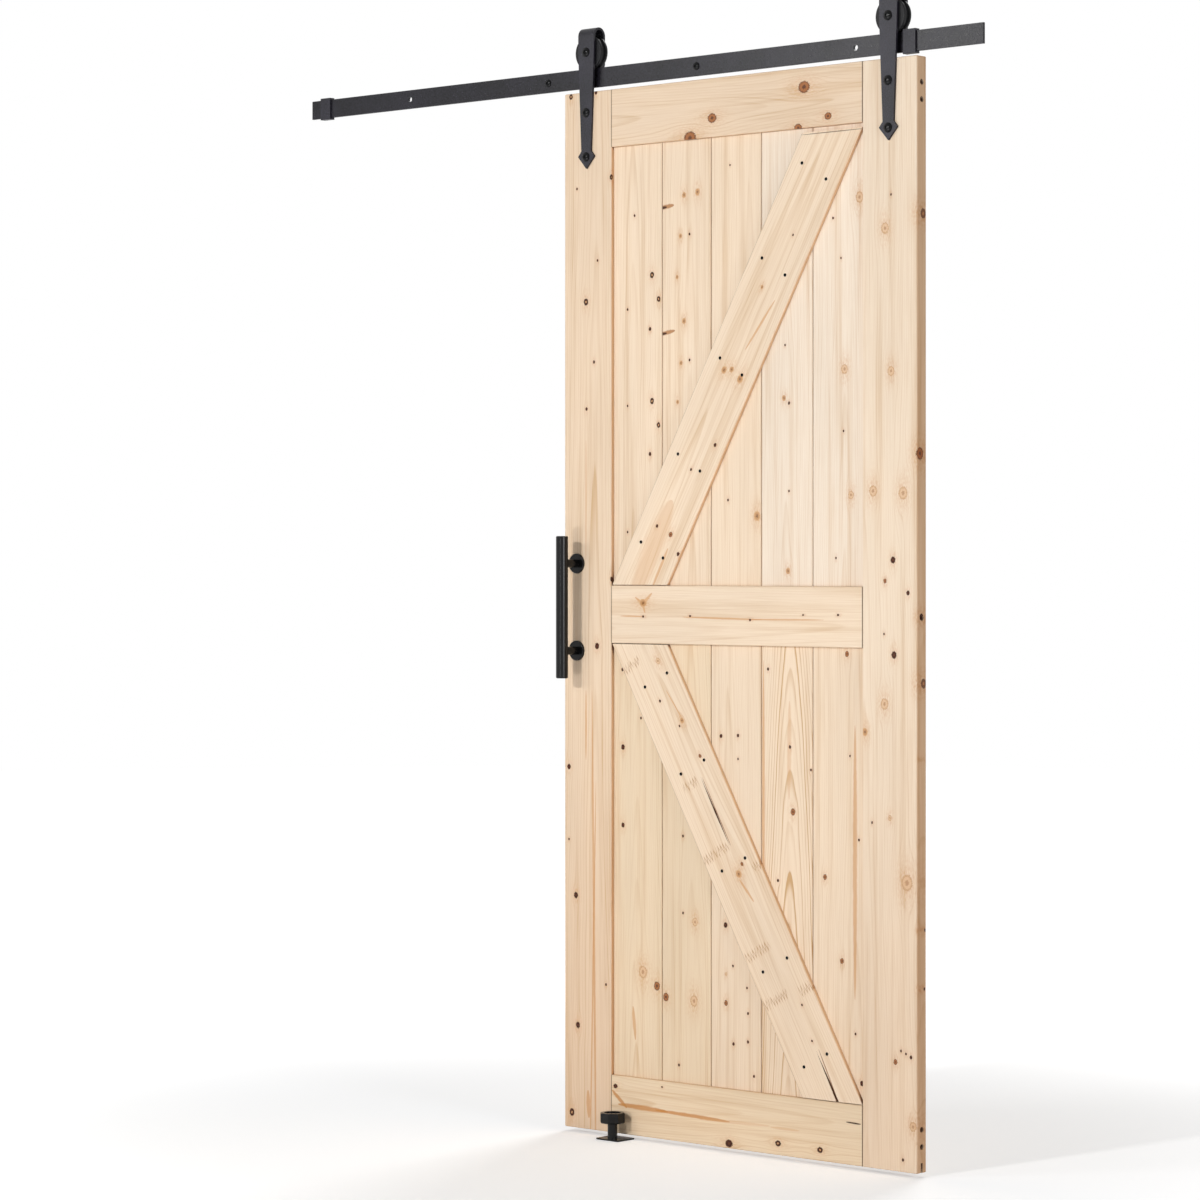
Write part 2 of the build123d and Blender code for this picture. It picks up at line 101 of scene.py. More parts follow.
BACK_LAMP_LEVEL = 0.36
BACK_LAMP_SIZE = 2.0
AMBIENT_LEVEL = 0.165

# Floor: its size, its grey, and the glow that rises with the distance from the door, in metres
FLOOR_RADIUS = 14.0
FLOOR_SIDES = 64
FLOOR_DROP = 0.4 * MM
FLOOR_GREY = (0.82, 0.82, 0.82, 1)
NEAR_GLOW = 0.36
FAR_GLOW = 0.92
GLOW_RISE = (0.7, 3.0)

# Screws of the braces, with the rings of a head from its seat to the socket's floor
SCREW_RADIUS = 3.4 * MM
SCREW_HEIGHT = 1.5 * MM
SCREW_SOCKET_RADIUS = 1.5 * MM
SCREW_SIDES = 24
SCREW_RINGS = [
    (SCREW_RADIUS, 0.0),
    (SCREW_RADIUS, SCREW_HEIGHT * 0.3),
    (SCREW_RADIUS * 0.8, SCREW_HEIGHT * 0.85),
    (SCREW_SOCKET_RADIUS * 1.15, SCREW_HEIGHT),
    (SCREW_SOCKET_RADIUS, SCREW_HEIGHT * 0.97),
    (SCREW_SOCKET_RADIUS, SCREW_HEIGHT * 0.4),
]

# Pine colours, as sRGB
CREAM = (240, 219, 194)
PINKISH = (241, 225, 206)
ROSE = (240, 221, 198)
HONEY = (234, 211, 185)
TAN = (233, 212, 183)
LATE_WOOD = (203, 164, 118)
HALO = (204, 148, 92)
# Painted shade for faces that look sideways, up or down
EDGE_SHADE = (230, 190, 144)
JOINT_SHADE = (92, 72, 52)
HOLE_SHADE = (84, 38, 20)
FINGER_JOINT = (172, 120, 68)

# Pine: wander of the rings, late wood within a year, fibres, bands and broad changes of tone
SLOW_WANDER = 40.0 * MM
SLOW_WANDER_SCALE = (1.3, 5, 5)
QUICK_WANDER = 5.0 * MM
QUICK_WANDER_SCALE = (6, 30, 30)
LATE_WOOD_RISE = (0.5, 0.92)
LATE_WOOD_FALL = (0.92, 1.0)
YEAR_CHANGE = 0.85
YEAR_LEAST = 0.15
FIBRE_SCALE = (9, 620, 620)
FIBRE_MIDDLE = 0.42
FIBRE_STRENGTH = 0.7
BAND_SCALE = (1.6, 75, 75)
BAND_RISE = (0.45, 0.75)
BAND_STRENGTH = 0.34
BROAD_SCALE = (2.2, 9, 9)
BROAD_STRENGTH = 0.16
SEED_STEP = (3.7, 1.9, 5.3)
PINE_ROUGHNESS = 0.5
PINE_ROUGHNESS_CHANGE = 0.2
PINE_SPECULAR = 0.25
PINE_BUMP = 0.25
PINE_BUMP_HEIGHT = 0.4 * MM

# Shade on boards: in joints, holes and cracks, on a brace's left arris, at rail ends, low down and on edges
JOINT_REACH = 1.6 * MM
JOINT_RISE = (0.3, 0.75)
JOINT_STRENGTH = 0.75
HOLE_REACH = 14.0 * MM
HOLE_RISE = (0.25, 0.5)
SHADE_SAMPLES = 8
ARRIS_SHADE = 2.4 * MM
ARRIS_STRENGTH = 0.7
END_SHADE = 2.2 * MM
END_STRENGTH = 0.75
# Painted shade low down: boards darker and warmer towards the floor
LOW_SHADE = (0.92, 0.87, 0.83, 1)
LOW_SHADE_RISE = (1.0, 2.1)
STILE_LOW_SHADE = 1.0
PANEL_LOW_SHADE = 0.3
# Painted shade on faces that look sideways, up or down, by how far they turn from the front
FRONT_FACE_RISE = (0.3, 0.8)
EDGE_SHADE_STRENGTH = 0.6

# Knots, as shares of their radius: push on the grain, heart, rim and outline, and the halo along the grain
KNOT_SCALE = 1.12
BEND_REACH = 1.5
BEND_STRETCH = 2.6
KNOT_STRETCH = (1.2, 1, 1)
KNOT_RIPPLE = 0.7
KNOT_RIPPLE_SCALE = (420, 420, 420)
KNOT_HEART_RISE = (0.25, 0.45)
KNOT_RIM_RISE = (0.7, 0.9)
KNOT_OUTLINE = (0.95, 1.15)
HALO_LENGTH = 3.6
HALO_WIDTH = 1.9
HALO_STRENGTH = 0.6
FLECK_SCALE = (130, 420, 130)
FLECK_RISE = (0.3, 0.7)

# Finger joints of the lower brace
FINGER_PITCH = 7.0 * MM
FINGER_LENGTH = 18.0 * MM
FINGER_LINE = (2.0 * MM, 6.0 * MM)
FINGER_ENDS = (0.85, 1.0)
FINGER_STRENGTH = 0.65
PATCH_SCALE = (60, 160, 60)
PATCH_RISE = (0.28, 0.58)

# Streaks: how far they reach behind the front face, their soft edge and the ripple of their width
STREAK_DEPTH = 9.0 * MM
STREAK_EDGE = (0.5, 1.15)
STREAK_LEAST_WIDTH = 0.01 * MM
STREAK_RIPPLE = 0.8
STREAK_RIPPLE_LEAST = 0.6
STREAK_RIPPLE_SCALE = (60, 420, 60)

# Coats of the fittings, by material slot, and the pieces that have a coat of their own
COATS = {
    "black_steel": Coat((28, 27, 33), 0.4, 0.28, 380, 0.7),
    "black_bolts": Coat((7, 7, 8), 0.2, 0.14, 700, 0.15),
    "satin_black": Coat((10, 10, 11), 0.2, 0.25, 1200, 0.05),
    "black_nylon": Coat((12, 12, 14), 0.45, 0.2, 500, 0.2),
    "rail_steel": Coat((20, 19, 24), 0.31, 0.28, 380, 0.6),
}
OWN_COATS = {
    "track_rail": "rail_steel",
    "guide_plate": "satin_black",
    "guide_post": "satin_black",
    "guide_head": "satin_black",
}
COAT_DARK = 0.6
COAT_PALE = 1.7
COAT_RISE = (0.3, 0.7)
COAT_BROAD_SCALE = (14, 14, 14)
COAT_BROAD_SHARE = 0.35
COAT_ROUGHNESS_CHANGE = 0.2
COAT_BUMP_HEIGHT = 0.3 * MM

# Looks of knots: colours of the heart, body and rim, and strength
KNOT_LOOKS = {
    "dark": ((92, 46, 22), (56, 25, 10), (88, 46, 22), 1.0),
    "brown": ((84, 42, 22), (160, 98, 52), (110, 62, 32), 0.95),
    "ring": ((196, 150, 106), (66, 32, 14), (56, 26, 11), 1.0),
    "hoop": ((186, 138, 94), (112, 68, 40), (84, 50, 30), 0.9),
    "pale": ((184, 134, 94), (222, 186, 148), (198, 152, 110), 0.8),
    "soft": ((126, 80, 46), (192, 140, 90), (214, 170, 124), 0.85),
}

# Looks of streaks: colour and strength
STREAK_LOOKS = {
    "orange": ((206, 146, 84), 0.6),
    "resin": ((196, 132, 66), 0.8),
    "faint": ((214, 166, 118), 0.4),
    "crack": ((140, 84, 50), 0.8),
    "dark": ((62, 36, 22), 0.95),
    "spike": ((172, 114, 60), 0.85),
    # edge: painted shadow line along the top end of the upper brace
    "edge": ((98, 76, 54), 0.8),
}

# Boards: tone, grain contrast, ring spacing, pith across and behind the face (in mm), and lean of the pith
BOARDS = {
    "left_stile": Board(HONEY, 0.50, 4.6, 20, 40, 0.010),
    "right_stile": Board(ROSE, 0.26, 5.0, -50, 30, 0.012),
    "top_rail": Board(HONEY, 0.42, 5.0, 10, 24, 0.030),
    "middle_rail": Board(CREAM, 0.24, 3.6, 25, 60, 0.012),
    "bottom_rail": Board(TAN, 0.42, 4.6, -15, 34, 0.020),
    "upper_plank_1": Board(CREAM, 0.34, 4.0, -10, 30, 0.016),
    "upper_plank_2": Board(CREAM, 0.32, 3.6, 6, 36, 0.012),
    "upper_plank_3": Board(CREAM, 0.28, 3.8, 30, 44, 0.010),
    "upper_plank_4": Board(PINKISH, 0.28, 3.6, -4, 30, 0.018),
    "upper_plank_5": Board(PINKISH, 0.26, 4.2, 12, 26, 0.014),
    "lower_plank_1": Board(TAN, 0.40, 5.0, 0, 24, 0.030),
    "lower_plank_2": Board(TAN, 0.34, 4.0, 14, 30, 0.016),
    "lower_plank_3": Board(CREAM, 0.26, 3.6, -30, 40, 0.012),
    "lower_plank_4": Board(CREAM, 1.35, 6.0, 6, 24, 0.060),
    "lower_plank_5": Board(CREAM, 0.32, 4.0, 36, 40, 0.014),
    "upper_brace": Board(CREAM, 0.36, 4.0, -8, 36, 0.014),
    "lower_brace": Board(CREAM, 0.36, 4.0, 18, 40, 0.012),
}

# Knots that the photograph shows, in its pixels
KNOTS = {
    "left_stile": [
        Knot(571, 97, 2.0, "ring"), Knot(596, 92.5, 1.5, "dark"), Knot(611.5, 177, 2.0, "ring"),
        Knot(577, 189, 1.0, "dark"), Knot(597.5, 260.5, 1.0, "dark"), Knot(586, 302, 2.5, "ring"),
        Knot(594, 362, 1.2, "dark"), Knot(586.5, 409, 1.3, "dark"), Knot(612, 579, 2.0, "ring"),
        Knot(597, 646, 2.3, "dark"), Knot(569, 766.5, 2.0, "dark"), Knot(569, 839, 0.9, "dark"),
        Knot(576, 895, 2.3, "dark"), Knot(606, 984.5, 1.0, "dark"), Knot(578, 1025, 2.3, "dark"),
        Knot(572, 1112, 2.7, "ring"),
    ],
    "right_stile": [
        Knot(891, 194.5, 0.9, "dark"), Knot(885, 228, 4.0, "pale"), Knot(891, 371, 3.5, "pale"),
        Knot(873, 491, 4.0, "pale"), Knot(903, 493, 4.5, "pale"), Knot(893, 560, 2.5, "dark"),
        Knot(885, 581, 1.7, "brown"), Knot(908, 593, 1.7, "dark"), Knot(884, 634, 0.9, "dark"),
        Knot(894, 655, 2.7, "dark"), Knot(884.5, 704, 4.0, "pale"), Knot(865, 732, 3.0, "soft"),
        Knot(918, 760, 1.0, "dark"), Knot(872, 822.5, 1.0, "dark"), Knot(890, 818, 2.0, "pale"),
        Knot(907, 883, 5.8, "pale"), Knot(901, 1051, 1.0, "dark"), Knot(906, 1054, 1.0, "dark"),
        Knot(911, 1057.5, 1.4, "dark"), Knot(895.5, 1062, 2.0, "brown"), Knot(913, 1127, 3.5, "pale"),
        Knot(903, 1160, 1.2, "dark"),
    ],
    "top_rail": [
        Knot(712, 118, 4.0, "brown"), Knot(690, 138, 5.5, "brown"), Knot(804, 87, 5.0, "brown"),
        Knot(828, 116, 3.0, "brown"), Knot(798, 128, 3.5, "brown"),
    ],
    "middle_rail": [
        Knot(643, 603, 3.6, "soft"), Knot(643, 616.5, 1.0, "dark"), Knot(690, 616, 1.0, "dark"),
        Knot(750, 620, 1.0, "dark"), Knot(838, 615, 1.0, "dark"), Knot(803, 615, 0.8, "dark"),
    ],
    "bottom_rail": [
        Knot(615.5, 1086, 2.0, "dark"), Knot(729, 1143.5, 3.3, "dark"), Knot(778, 1143.4, 2.5, "ring"),
        Knot(820, 1150, 2.4, "ring"), Knot(662, 1087, 0.8, "dark"),
    ],
    "upper_plank_1": [
        Knot(634.6, 215.6, 1.0, "dark"), Knot(652, 275, 2.2, "ring"), Knot(658.6, 299, 2.0, "ring"),
        Knot(650, 329, 1.4, "dark"), Knot(627.6, 309.5, 1.0, "dark"), Knot(652, 401, 2.2, "ring"),
        Knot(658.5, 425, 2.0, "ring"), Knot(627.6, 406, 0.9, "dark"), Knot(650, 454, 1.5, "dark"),
        Knot(627.6, 532, 0.9, "dark"),
    ],
    "upper_plank_2": [
        Knot(684, 195, 2.2, "soft"), Knot(697.5, 192, 2.6, "soft"), Knot(680.5, 236, 1.8, "soft"),
        Knot(689.5, 234, 1.0, "dark"), Knot(677, 277, 1.6, "soft"), Knot(684, 321, 2.2, "soft"),
        Knot(681, 363, 1.8, "soft"), Knot(689.5, 360, 1.0, "dark"), Knot(677.6, 402, 1.6, "soft"),
    ],
    "upper_plank_3": [
        Knot(730, 165, 0.8, "dark"), Knot(728, 500, 1.0, "dark"), Knot(757, 516, 3.5, "soft"),
    ],
    "upper_plank_4": [
        Knot(784, 398, 2.2, "soft"), Knot(789, 403, 1.2, "dark"), Knot(785, 345, 0.9, "dark"),
        Knot(789, 491, 0.9, "dark"), Knot(788, 571, 2.4, "soft"),
    ],
    "upper_plank_5": [
        Knot(859.5, 197, 4.0, "pale"), Knot(833, 218, 1.0, "dark"), Knot(841, 258, 0.8, "dark"),
        Knot(844.5, 369, 3.5, "pale"), Knot(843.5, 431, 0.9, "dark"), Knot(851, 495, 3.0, "pale"),
        Knot(836, 558, 0.9, "dark"),
    ],
    "lower_plank_1": [
        Knot(622.5, 669.5, 1.3, "dark"), Knot(641, 718, 1.0, "dark"), Knot(623, 747, 2.0, "dark"),
        Knot(623, 825, 1.8, "dark"), Knot(643, 972, 4.4, "pale"), Knot(657, 986, 3.2, "brown"),
    ],
    "lower_plank_2": [
        Knot(683, 836, 1.1, "dark"), Knot(683, 913, 1.0, "dark"), Knot(695, 922, 3.0, "pale"),
        Knot(666, 997, 3.0, "brown"), Knot(694, 1001, 4.0, "pale"), Knot(679, 1065, 1.1, "dark"),
    ],
    "lower_plank_3": [
        Knot(721, 736, 1.5, "dark"), Knot(738, 735.5, 1.3, "dark"), Knot(738, 759, 0.9, "dark"),
        Knot(725.6, 925, 2.0, "dark"), Knot(733, 966, 1.0, "dark"), Knot(726, 974, 1.3, "pale"),
        Knot(726, 1003, 2.0, "brown"), Knot(747, 988, 0.9, "dark"), Knot(748, 1013.5, 1.1, "dark"),
        Knot(733.5, 1044, 1.3, "dark"), Knot(748, 1042, 1.2, "dark"), Knot(754, 1076.5, 1.1, "dark"),
    ],
    "lower_plank_4": [
        Knot(768, 669, 1.2, "dark"), Knot(790, 747, 1.3, "dark"), Knot(811, 770, 1.0, "dark"),
        Knot(793, 812, 2.5, "brown"), Knot(778, 880.5, 1.2, "dark"),
    ],
    "lower_plank_5": [
        Knot(847, 654, 2.1, "brown"), Knot(850, 756, 0.9, "dark"), Knot(859, 840, 1.0, "dark"),
        Knot(825, 877, 2.0, "brown"), Knot(842, 961, 2.0, "brown"), Knot(855.5, 1034, 1.0, "dark"),
        Knot(862, 1083.5, 2.0, "dark"),
    ],
    "upper_brace": [
        Knot(762, 287, 1.6, "soft"), Knot(724, 370, 2.8, "soft"), Knot(731.6, 369.5, 2.3, "soft"),
        Knot(740, 379, 3.2, "soft"), Knot(715, 445, 1.5, "dark"), Knot(691, 469.5, 1.1, "dark"),
        Knot(657, 526, 1.3, "dark"), Knot(670.6, 534.5, 2.0, "brown"), Knot(678, 554, 1.5, "dark"),
        Knot(793, 235, 0.9, "dark"),
    ],
    "lower_brace": [
        Knot(658, 661, 2.5, "pale"), Knot(660, 701, 1.1, "dark"), Knot(682, 720.5, 2.2, "soft"),
        Knot(679.5, 726, 0.9, "dark"), Knot(700, 756, 1.5, "brown"), Knot(742, 864, 1.5, "brown"),
        Knot(738.6, 874, 3.0, "soft"), Knot(802, 1005, 0.9, "dark"), Knot(812, 1041, 0.9, "dark"),
    ],
}

# Knots on the narrow right edge of the door, in the photograph's pixels
EDGE_KNOTS = {
    "right_stile": [
        Knot(923.2, 213.4, 3.6, "hoop"), Knot(920, 453.4, 4.4, "brown"), Knot(921.4, 617, 2.5, "dark"),
        Knot(923.6, 683.6, 3.5, "hoop"), Knot(925, 930, 1.2, "dark"), Knot(924.4, 989, 1.2, "dark"),
    ],
}

# Finger joints across the lower brace, in the photograph's pixels
FINGERS = {
    "lower_brace": [
        Finger(620, 671, 641, 662), Finger(683, 789, 698, 781), Finger(701, 857, 731, 850),
        Finger(743, 955, 772, 949), Finger(763, 1005, 789, 995), Finger(799, 993, 813, 984),
        Finger(752, 868, 766, 861),
    ],
}

# Streaks and cracks that the photograph shows, in its pixels
STREAKS = {
    "left_stile": [
        Streak(592, 690, 596, 1165, 1.6, "orange"), Streak(596, 780, 590, 1165, 1.2, "orange"),
        Streak(586, 440, 586, 560, 1.6, "faint"), Streak(586, 690, 586, 760, 1.4, "orange"),
        Streak(588, 1090, 589, 1118, 3.0, "orange"),
    ],
    "middle_rail": [
        Streak(620, 616, 644, 616.5, 1.0, "orange"), Streak(682, 617, 762, 619.8, 1.2, "orange"),
        Streak(748, 619.4, 824, 620, 1.0, "orange"), Streak(641, 606, 652, 593, 2.0, "orange"),
        Streak(645, 606, 635, 597, 1.6, "orange"), Streak(642, 602, 645, 613, 1.6, "orange"),
    ],
    "bottom_rail": [
        Streak(612, 1090, 627, 1108, 2.4, "resin"), Streak(618, 1104, 668, 1112, 3.0, "resin"),
        Streak(655, 1110, 730, 1122, 2.2, "resin"),
        Streak(700, 1119, 770, 1126, 2.0, "faint"), Streak(770, 1127, 800, 1131, 1.6, "faint"),
        Streak(846, 1122, 861, 1124.3, 1.0, "dark"),
    ],
    "lower_plank_1": [
        Streak(633, 1006, 635.5, 1040, 2.4, "orange"),
    ],
    "lower_plank_4": [
        Streak(763.5, 660, 763.5, 960, 2.0, "orange"), Streak(789.5, 701, 789, 800, 3.0, "faint"),
    ],
    "lower_plank_5": [
        Streak(855, 725, 855, 1000, 3.0, "orange"),
    ],
    "upper_plank_2": [
        Streak(659, 208.5, 674, 205, 2.6, "spike"), Streak(659, 334.8, 675, 330.5, 2.4, "spike"),
        Streak(659, 208.7, 667, 207, 1.6, "dark"), Streak(659, 335, 667, 333, 1.5, "dark"),
    ],
    "upper_brace": [
        # The edge streak is a painted shadow line along the top end of the brace
        Streak(745, 350, 775, 300, 1.6, "orange"), Streak(801, 135, 864, 128.4, 0.6, "edge"),
        Streak(632, 600, 672, 500, 14, "faint"), Streak(652, 588, 668, 548, 2.0, "orange"),
    ],
    "lower_brace": [
        Streak(702, 777, 731, 846, 0.7, "crack"), Streak(818.5, 1049, 839, 1104, 0.8, "crack"),
        Streak(739, 879, 754, 902, 1.6, "orange"), Streak(666, 690, 684, 722, 0.8, "orange"),
    ],
}

# Screws that hold the braces to the planks, in the photograph's pixels
BRACE_SCREWS = {
    "upper_brace": [
        (802, 163), (826, 179), (762, 258), (785, 275), (720, 358),
        (742, 375), (678, 454), (700, 471), (641, 542), (663, 558),
    ],
    "lower_brace": [
        (645, 687), (667, 673), (681, 774), (704, 760), (722, 871),
        (745, 858), (763, 972), (787, 958), (804, 1067), (827, 1054),
    ],
}


def linear(colour):
    """RGBA that Blender works with, from sRGB numbers up to 255."""
    shares = [value / 255 for value in colour]
    return [s / 12.92 if s <= 0.04045 else ((s + 0.055) / 1.055) ** 2.4 for s in shares] + [1]


def photo_point(pixel_x, pixel_y, plane, axis=1):
    """Point that the photograph shows at a pixel, on the upright plane at that place along the axis."""
    right = CAMERA_LOOK.cross(UP)
    ray = CAMERA_LOOK * FOCAL_PIXELS + right * (pixel_x - PRINCIPAL_X) - UP * (pixel_y - PRINCIPAL_Y)
    return CAMERA_PLACE + ray * ((plane - CAMERA_PLACE[axis]) / ray[axis])


class Graph:
    """Adds nodes to one node tree, so that a formula reads as nested calls."""

    def __init__(self, tree):
        self.tree = tree

    def feed(self, socket, value):
        """Links a socket, or sets a plain value."""
        if isinstance(value, bpy.types.NodeSocket):
            self.tree.links.new(value, socket)
        else:
            socket.default_value = value

    def node(self, kind, inputs, **settings):
        made = self.tree.nodes.new(kind)
        for name, value in settings.items():
            setattr(made, name, value)
        for key, value in inputs.items():
            self.feed(made.inputs[key], value)
        return made

    def math(self, operation, *values, clamp=False):
        made = self.node("ShaderNodeMath", dict(enumerate(values)), operation=operation, use_clamp=clamp)
        return made.outputs[0]

    def square(self, value):
        return self.math("MULTIPLY", value, value)

    def vector(self, operation, *values):
        made = self.node("ShaderNodeVectorMath", dict(enumerate(values)), operation=operation)
        return made.outputs["Value" if operation in ("DOT_PRODUCT", "LENGTH") else "Vector"]

    def mix(self, factor, first, second, blend="MIX"):
        inputs = {0: factor, 6: first, 7: second}
        return self.node("ShaderNodeMix", inputs, data_type="RGBA", blend_type=blend).outputs[2]

    def paint(self, colour, share, strength, over, blend="MIX"):
        """A colour with another one over it, by a share of a strength."""
        return self.mix(self.math("MULTIPLY", share, strength), colour, over, blend)

    def smooth(self, value, start, end):
        """0 before start, 1 after end, and a smooth rise between them."""
        inputs = {"Value": value, "From Min": start, "From Max": end}
        return self.node("ShaderNodeMapRange", inputs, interpolation_type="SMOOTHSTEP").outputs[0]

    def fade(self, value, start, end):
        """1 before start, 0 after end, and a smooth fall between them."""
        return self.math("SUBTRACT", 1.0, self.smooth(value, start, end))

    def split(self, vector):
        return self.node("ShaderNodeSeparateXYZ", {0: vector}).outputs

    def noise(self, vector, stretch, detail=2.0):
        """Noise whose scale along each axis is in stretch."""
        place = self.vector("MULTIPLY", vector, stretch)
        return self.node("ShaderNodeTexNoise", {"Vector": place, "Scale": 1.0, "Detail": detail}).outputs[0]

    def openness(self, reach):
        """1 in the open, and less where other faces stand within reach."""
        made = self.node("ShaderNodeAmbientOcclusion", {"Distance": reach}, samples=SHADE_SAMPLES)
        return made.outputs["AO"]

    def group(self, tree, inputs):
        made = self.node("ShaderNodeGroup", {}, node_tree=tree)
        for key, value in inputs.items():
            self.feed(made.inputs[key], value)
        return made.outputs


SOCKETS = {"value": "NodeSocketFloat", "vector": "NodeSocketVector", "colour": "NodeSocketColor"}


def new_group(name, inputs, outputs):
    """An empty node group with named sockets, and the graph that fills it."""
    tree = bpy.data.node_groups.new(name, "ShaderNodeTree")
    for title, kind in inputs.items():
        tree.interface.new_socket(title, in_out="INPUT", socket_type=SOCKETS[kind])
    for title, kind in outputs.items():
        tree.interface.new_socket(title, in_out="OUTPUT", socket_type=SOCKETS[kind])
    graph = Graph(tree)
    given = graph.node("NodeGroupInput", {}).outputs
    result = graph.node("NodeGroupOutput", {}).inputs
    return tree, graph, given, result


def make_bend_group():
    """Pushes the grain aside round a knot, as water flows round a post."""
    inputs = {"Board": "vector", "Centre": "vector", "Radius": "value", "Shift": "value"}
    tree, g, given, result = new_group("knot bend", inputs, {"Shift": "value"})
    along, across, _ = g.split(g.vector("SUBTRACT", given["Board"], given["Centre"]))
    reach_squared = g.square(g.math("MULTIPLY", given["Radius"], BEND_REACH))
    stretched = g.math("DIVIDE", along, BEND_STRETCH)
    distance_squared = g.math("MULTIPLY_ADD", stretched, stretched, g.square(across))
    push = g.math("DIVIDE", reach_squared, g.math("MAXIMUM", distance_squared, reach_squared))
    g.feed(result["Shift"], g.math("MULTIPLY_ADD", across, push, given["Shift"]))
    return tree


def make_knot_group():
    """Paints a knot: a warm halo along the grain, then its heart, body and rim."""
    inputs = {"Board": "vector", "Centre": "vector", "Radius": "value", "Heart": "colour", "Body": "colour",
              "Rim": "colour", "Strength": "value", "Colour": "colour"}
    tree, g, given, result = new_group("knot", inputs, {"Colour": "colour"})
    apart = g.vector("SUBTRACT", given["Board"], given["Centre"])
    along, across, _ = g.split(apart)
    ripple = g.math("SUBTRACT", g.noise(given["Board"], KNOT_RIPPLE_SCALE), 0.5)
    span = g.vector("LENGTH", g.vector("DIVIDE", apart, KNOT_STRETCH))
    turn = g.math("MULTIPLY_ADD", ripple, KNOT_RIPPLE, g.math("DIVIDE", span, given["Radius"]))
    core = g.mix(g.smooth(turn, *KNOT_HEART_RISE), given["Heart"], given["Body"])
    core = g.mix(g.smooth(turn, *KNOT_RIM_RISE), core, given["Rim"])
    long_share = g.math("DIVIDE", along, g.math("MULTIPLY", given["Radius"], HALO_LENGTH))
    wide_share = g.math("DIVIDE", across, g.math("MULTIPLY", given["Radius"], HALO_WIDTH))
    spread = g.math("ADD", g.square(long_share), g.square(wide_share))
    glow = g.math("EXPONENT", g.math("MULTIPLY", spread, -1.0))
    flecks = g.smooth(g.noise(given["Board"], FLECK_SCALE), *FLECK_RISE)
    halo = g.math("MULTIPLY", glow, g.math("MULTIPLY", flecks, HALO_STRENGTH))
    warm = g.mix(halo, given["Colour"], linear(HALO))
    inside = g.fade(turn, *KNOT_OUTLINE)
    g.feed(result["Colour"], g.paint(warm, inside, given["Strength"], core))
    return tree


def make_finger_group():
    """Paints the zigzag of a finger joint across a board."""
    inputs = {"Board": "vector", "Centre": "vector", "Half": "value", "Colour": "colour"}
    tree, g, given, result = new_group("finger joint", inputs, {"Colour": "colour"})
    along, across, _ = g.split(g.vector("SUBTRACT", given["Board"], given["Centre"]))
    tooth = g.math("DIVIDE", g.math("PINGPONG", across, FINGER_PITCH / 2), FINGER_PITCH / 2)
    zigzag = g.math("MULTIPLY", g.math("SUBTRACT", tooth, 0.5), FINGER_LENGTH)
    line = g.fade(g.math("ABSOLUTE", g.math("SUBTRACT", along, zigzag)), *FINGER_LINE)
    reach = g.math("DIVIDE", g.math("ABSOLUTE", across), given["Half"])
    patchy = g.smooth(g.noise(given["Board"], PATCH_SCALE), *PATCH_RISE)
    share = g.math("MULTIPLY", g.math("MULTIPLY", line, patchy), g.fade(reach, *FINGER_ENDS))
    g.feed(result["Colour"], g.paint(given["Colour"], share, FINGER_STRENGTH, linear(FINGER_JOINT)))
    return tree


def make_streak_group():
    """Paints a slim lens from one point to another: a resin streak, a crack, or a painted shadow line at a
    brace's end.
    """
    inputs = {"Board": "vector", "From": "vector", "To": "vector", "Width": "value", "Tint": "colour",
              "Strength": "value", "Colour": "colour"}
    tree, g, given, result = new_group("streak", inputs, {"Colour": "colour"})
    span = g.vector("SUBTRACT", given["To"], given["From"])
    flat = g.vector("MULTIPLY", g.vector("SUBTRACT", given["Board"], given["From"]), (1, 1, 0))
    span_squared = g.vector("DOT_PRODUCT", span, span)
    along = g.math("DIVIDE", g.vector("DOT_PRODUCT", flat, span), span_squared, clamp=True)
    nearest = g.node("ShaderNodeVectorMath", {0: span, "Scale": along}, operation="SCALE").outputs["Vector"]
    distance = g.vector("LENGTH", g.vector("SUBTRACT", flat, nearest))
    belly = g.math("MULTIPLY", g.math("MULTIPLY", along, g.math("SUBTRACT", 1.0, along)), 4.0)
    ripple_noise = g.noise(given["Board"], STREAK_RIPPLE_SCALE)
    ripple = g.math("MULTIPLY_ADD", ripple_noise, STREAK_RIPPLE, STREAK_RIPPLE_LEAST)
    half_width = g.math("MULTIPLY", g.math("MULTIPLY", g.math("SQRT", belly), given["Width"]), ripple)
    share = g.math("DIVIDE", distance, g.math("MAXIMUM", half_width, STREAK_LEAST_WIDTH))
    near_face = g.fade(g.split(given["Board"])[2], STREAK_DEPTH / 2, STREAK_DEPTH)
    inside = g.math("MULTIPLY", g.fade(share, *STREAK_EDGE), near_face)
    g.feed(result["Colour"], g.paint(given["Colour"], inside, given["Strength"], given["Tint"]))
    return tree


